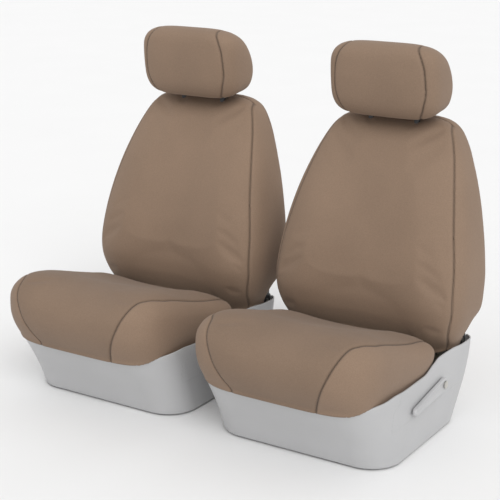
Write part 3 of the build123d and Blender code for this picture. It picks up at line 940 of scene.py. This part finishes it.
def slider(name, width, length, bar, level):
    """A three-bar strap adjuster, flat at a height."""
    pieces = []
    for x in (-width / 2, width / 2):
        pieces.append(rounded_bar(name, (x, -length / 2, level), (x, length / 2, level), bar))
    for y in (-length / 2, 0, length / 2):
        pieces.append(rounded_bar(name, (-width / 2, y, level), (width / 2, y, level), bar))
    return joined(name, pieces)


def rounded_bar(name, start, end, radius):
    """A bar with a round section and domed ends."""
    start, end = Vector(start), Vector(end)
    along = (end - start).normalized()
    side = along.orthogonal().normalized()
    other = along.cross(side)
    rings = []
    for place_on, size in ((-0.9, 0.4), (-0.4, 0.9), (0, 1)):
        rings.append(bar_ring(start + along * radius * place_on, side, other, radius * size))
    for place_on, size in ((0, 1), (0.4, 0.9), (0.9, 0.4)):
        rings.append(bar_ring(end + along * radius * place_on, side, other, radius * size))
    return skin(name, np.array(rings))


def bar_ring(middle, side, other, radius):
    return [list(middle + radius * (cos(a) * side + sin(a) * other))
            for a in np.linspace(0, 2 * pi, 13)[:-1]]


def make_straps(webbing, black):
    """Two webbing straps with sliders under the cushion."""
    front, rear = strap_low.y - seat_y, strap_high.y - seat_y
    pan_front, pan_rear = pan_low.y - seat_y, pan_high.y - seat_y
    low, high = strap_low.z + 0.006, strap_high.z - 0.002
    x = strap_high.x - seat_x - strap_edge
    path = [(front, high), (pan_front - 0.004, low + 0.001), (pan_front + 0.03, low),
            (pan_rear - 0.03, low), (pan_rear + 0.002, low + 0.001), (rear, high)]
    straps = []
    sliders = []
    for side in (-1, 1):
        straps.append(moved(strap("strap", path, strap_width, strap_thick), (side * x, 0, 0)))
        adjuster = slider("slider", slider_width, slider_length, slider_bar, low - 0.0015)
        sliders.append(moved(adjuster, (side * x, slider_y, 0)))
    place(joined("straps", straps), "cushion_webbing_straps", "base", "webbing",
          ["cushion_cover_straps"], None, webbing)
    place(joined("sliders", sliders), "cushion_strap_sliders", "base", "black_plastic",
          [], None, black)


def make_closures(tape):
    """Two hook-and-loop straps that join the backrest cover's edges under the foam."""
    front, rear = closure_low.y - seat_y, closure_high.y - seat_y - closure_tuck
    level = (closure_low.z + closure_high.z) / 2
    middle = (front + rear) / 2
    x = closure_high.x - seat_x - closure_width / 2
    path = [(front, level), (front + 0.05, level - 0.0015), (middle, level - 0.0008),
            (rear - 0.05, level - 0.0015), (rear, level)]
    straps = []
    for side in (-1, 1):
        straps.append(moved(strap("closure", path, closure_width, closure_thick), (side * x, 0, 0)))
        flap_path = [(middle - 0.01, level - flap_drop), (middle + 0.06, level - flap_drop)]
        flap = strap("flap", flap_path, flap_width, flap_thick)
        straps.append(moved(flap, (side * x, 0, 0)))
    place(joined("closures", straps), "backrest_closure_straps", "backrest", "hook_and_loop",
          ["backrest_cover_closures"], None, tape)


def dress_frame(looks):
    """Give each carried-over node its slot's material."""
    slots = {part["node"]: part["material_slot"] for part in frame["record"]["subparts"]}
    for name, node in frame["nodes"].items():
        node.data.materials.clear()
        node.data.materials.append(looks[slots[name]])


# Studio
def sun(name, toward, strength, spread):
    """A sun that shines from a direction, with the angle it spreads over."""
    lamp = bpy.data.lights.new(name, "SUN")
    lamp.energy = strength
    lamp.angle = spread
    lamp_object = bpy.data.objects.new(name, lamp)
    lamp_object.rotation_euler = Vector(toward).to_track_quat("Z", "Y").to_euler()
    bpy.context.scene.collection.objects.link(lamp_object)


def studio():
    """Pale floor, soft light from all round and a broad sun ahead of the seats, to their left."""
    reach = 40
    points = [(-reach, -reach, 0), (reach, -reach, 0), (reach, reach, 0), (-reach, reach, 0)]
    floor = new_piece("floor", points, [(0, 1, 2, 3)])
    pale = Look("floor", (0.83, 0.83, 0.83), 0.9)
    pale.colour(pale.between(pale.noise(2), 0.3, 0.7, (0.825, 0.825, 0.825), (0.835, 0.835, 0.835)))
    floor.data.materials.append(pale.material)
    world = bpy.data.worlds.new("studio")
    world.use_nodes = True
    world.node_tree.nodes["Background"].inputs["Color"].default_value = (1, 1, 1, 1)
    world.node_tree.nodes["Background"].inputs["Strength"].default_value = 0.87
    bpy.context.scene.world = world
    sun("key", (2.4, -2.3, 2.6), 1.40, radians(35))
    bpy.context.scene.view_settings.view_transform = "Standard"


def camera():
    lens = bpy.data.cameras.new("camera")
    lens.lens = 92.9
    lens.sensor_width = 36
    body = bpy.data.objects.new("camera", lens)
    azimuth, pitch = radians(32.6), radians(16.3)
    body.location = (1.885, -2.888, 1.455)
    body.rotation_euler = (pi / 2 - pitch, 0, azimuth)
    bpy.context.scene.collection.objects.link(body)
    bpy.context.scene.camera = body


camera()
looks = {
    "cover_fabric": cover_fabric("cover_fabric", 1.0),
    "elastic_band": woven("elastic_band", (0.060, 0.048, 0.040), 0.0022),
    "webbing": woven("webbing", (0.045, 0.040, 0.036), 0.0026),
    "hook_and_loop": woven("hook_and_loop", (0.075, 0.060, 0.048), 0.0012),
    "seat_foam": foam(),
    "grey_plastic": plastic("grey_plastic", (0.45, 0.45, 0.455), 0.45),
    "black_plastic": plastic("black_plastic", (0.022, 0.022, 0.024), 0.42),
    "cable_sheath": plastic("cable_sheath", (0.018, 0.018, 0.018), 0.38),
    "black_steel": metal("black_steel", (0.022, 0.022, 0.024), 0.42, 14, metallic=0.0),
    "zinc_steel": metal("zinc_steel", (0.56, 0.55, 0.51), 0.36, 18),
    "polished_steel": metal("polished_steel", (0.78, 0.78, 0.79), 0.12, 30),
}
dress_frame(looks)
# The cushion's middle panel gets the cover fabric at 0.86 of its brightness: painted shade, for the
# cushion's top and front, which get less light.
make_cushion(looks["cover_fabric"], cover_fabric("painted_shade_fabric", 0.86), looks["seat_foam"])
make_backrest(looks["cover_fabric"], looks["seat_foam"])
make_headrest(looks["cover_fabric"], looks["seat_foam"])
make_hem(looks["elastic_band"])
make_base(looks["grey_plastic"])
make_lever(looks["grey_plastic"])
make_straps(looks["webbing"], looks["black_plastic"])
make_closures(looks["hook_and_loop"])
studio()
